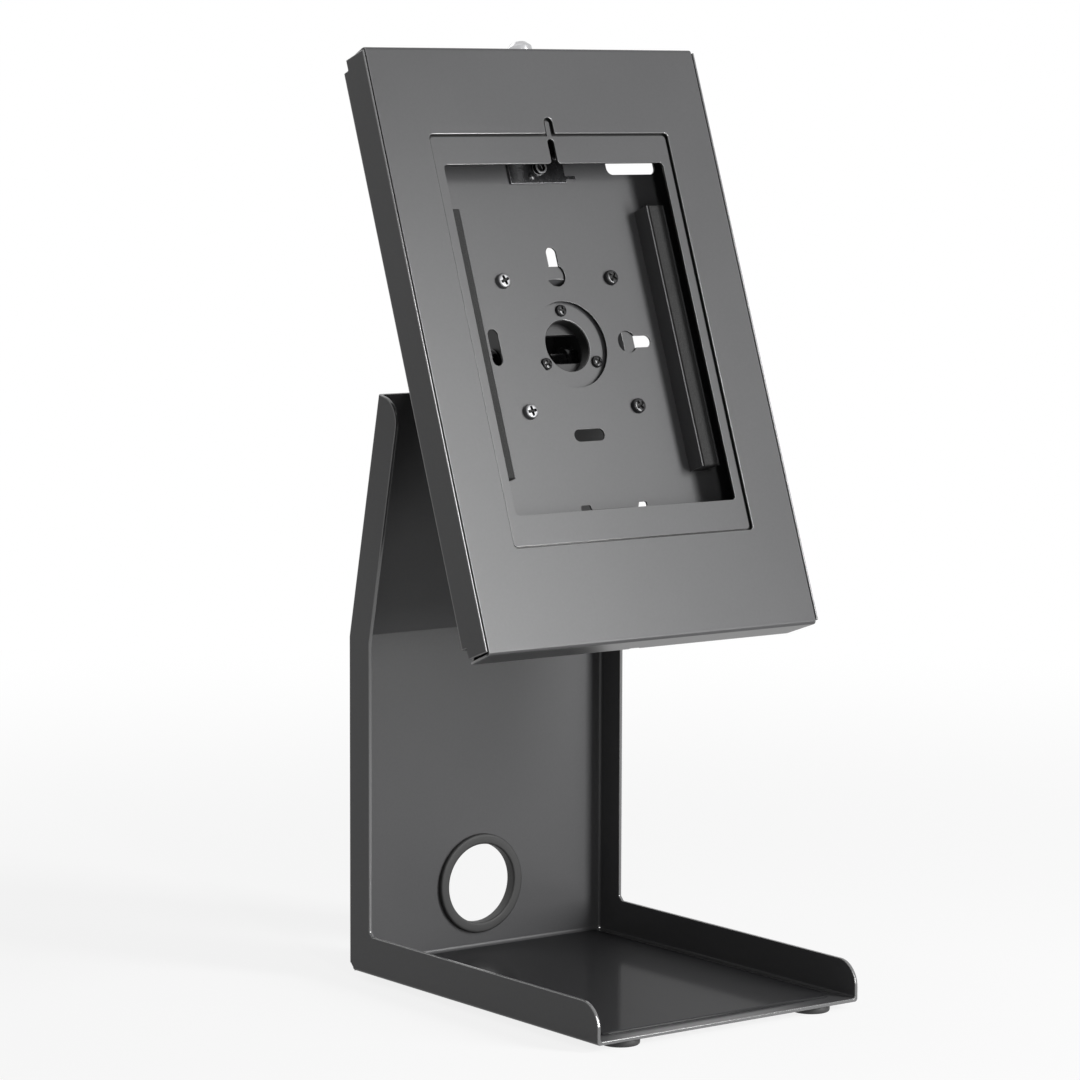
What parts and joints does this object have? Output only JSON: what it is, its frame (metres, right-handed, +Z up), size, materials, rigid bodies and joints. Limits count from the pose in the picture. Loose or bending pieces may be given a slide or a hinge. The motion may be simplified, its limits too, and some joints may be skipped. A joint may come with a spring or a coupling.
{
  "type": "point of sale tablet stand",
  "caption": "Counter stand for a till tablet: a folded steel bracket on low feet with a tilting, swivelling, lockable enclosure and a raised-edge tray.",
  "frame": {"origin": "on the desk under the middle of the whole stand's bounding box", "axes": "+Z up, -Y towards the user and the open front of the tray, +X to the user's right"},
  "size_m": [0.23, 0.2348, 0.5282],
  "materials": {
    "stand_steel": "charcoal fine-texture powder coat",
    "enclosure_steel": "charcoal fine-texture powder coat",
    "hinge_steel": "black powder coat",
    "tray_sheet": "semi-gloss black sheet",
    "black_rubber": "smooth black rubber",
    "foam": "closed-cell foam with a skin",
    "zinc_steel": "bright zinc plate",
    "black_steel": "gloss black",
    "lock_chrome": "polished chrome",
    "bearing_plastic": "natural nylon"
  },
  "bodies": {
    "stand": {"stand_bracket": "stand_steel", "rubber_feet": "black_rubber", "tray_mat": "tray_sheet", "cable_grommet": "black_rubber", "hinge_base_bracket": "hinge_steel", "hinge_mount_screws": "black_steel", "hinge_mount_nuts": "zinc_steel", "pivot_bolts": "black_steel", "pivot_nuts": "black_steel", "pivot_washers": "black_steel", "tilt_friction_washers": "bearing_plastic", "stop_screws": "black_steel"},
    "tilt_head": {"tilt_yoke": "hinge_steel", "swivel_hub": "hinge_steel", "front_bearing_washer": "bearing_plastic", "rear_bearing_washer": "bearing_plastic", "retaining_ring": "hinge_steel", "ring_screws": "black_steel"},
    "enclosure": {"vesa_plate": "hinge_steel", "vesa_screws": "zinc_steel", "rear_housing": "enclosure_steel", "left_pad_rail": "enclosure_steel", "right_pad_rail": "enclosure_steel", "left_foam_pad": "foam", "right_foam_pad": "foam", "lock_bracket": "black_steel", "bracket_rivets": "black_steel"},
    "cover": {"front_cover": "enclosure_steel", "adapter_frame": "enclosure_steel", "adapter_nuts": "zinc_steel", "lock_barrel": "lock_chrome", "lock_nut": "zinc_steel"},
    "key": {"key_plug": "lock_chrome", "lock_cam": "zinc_steel", "cam_screw": "zinc_steel"}
  },
  "joints": [
    {"name": "tilt", "type": "hinge", "parent": "stand", "child": "tilt_head", "pos_m": [0, 0.05771, 0.34975], "axis": [-1, 0, 0], "range_deg": [-20, 35]},
    {"name": "swivel", "type": "hinge", "parent": "tilt_head", "child": "enclosure", "pos_m": [0, 0.03327, 0.35864], "axis": [0, -0.9397, 0.342], "continuous": true},
    {"name": "cover_open", "type": "hinge", "parent": "enclosure", "child": "cover", "pos_m": [0, -0.03104, 0.19773], "axis": [1, 0, 0], "range_deg": [0, 60]},
    {"name": "key_turn", "type": "hinge", "parent": "cover", "child": "key", "pos_m": [0, 0.07502, 0.5201], "axis": [0, 0.342, 0.9397], "range_deg": [0, 90]}
  ]
}
